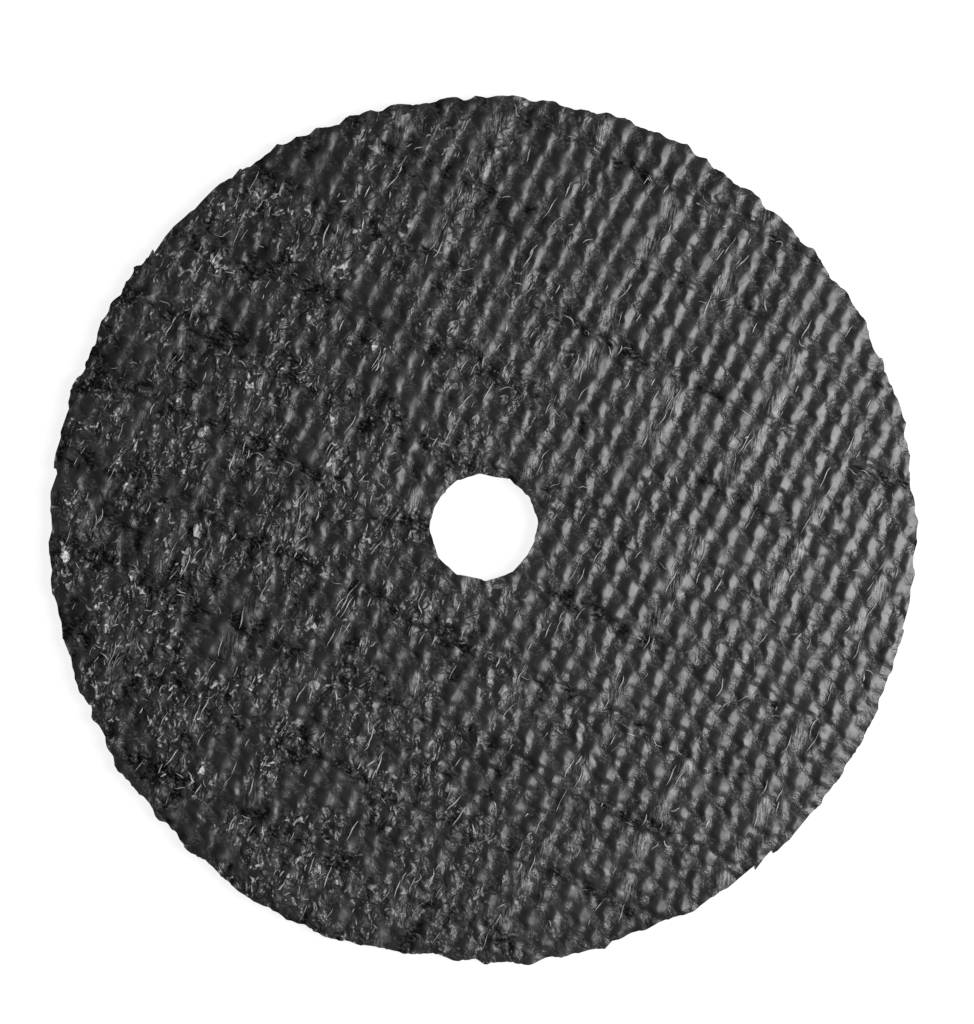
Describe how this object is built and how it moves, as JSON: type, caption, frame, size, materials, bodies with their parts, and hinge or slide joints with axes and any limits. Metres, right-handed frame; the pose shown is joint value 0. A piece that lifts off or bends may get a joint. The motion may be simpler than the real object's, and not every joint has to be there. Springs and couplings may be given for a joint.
{
  "type": "cut off wheel",
  "caption": "Thin round resin-bonded abrasive cut off wheel with a cloth weave pressed into its faces, a rough cut rim and a central arbor bore.",
  "frame": {"origin": "on the arbor bore's axis, halfway through the wheel's thickness", "axes": "+Z along the bore axis out of the front face; seen from the front, +X is right and +Y is up as the wheel is pictured"},
  "size_m": [0.0764, 0.0765, 0.0016],
  "materials": {
    "bonded_abrasive": "dark grey satin resin, pressed with a cloth's weave"
  },
  "bodies": {
    "root": {"cut_off_wheel": "bonded_abrasive"}
  },
  "joints": []
}
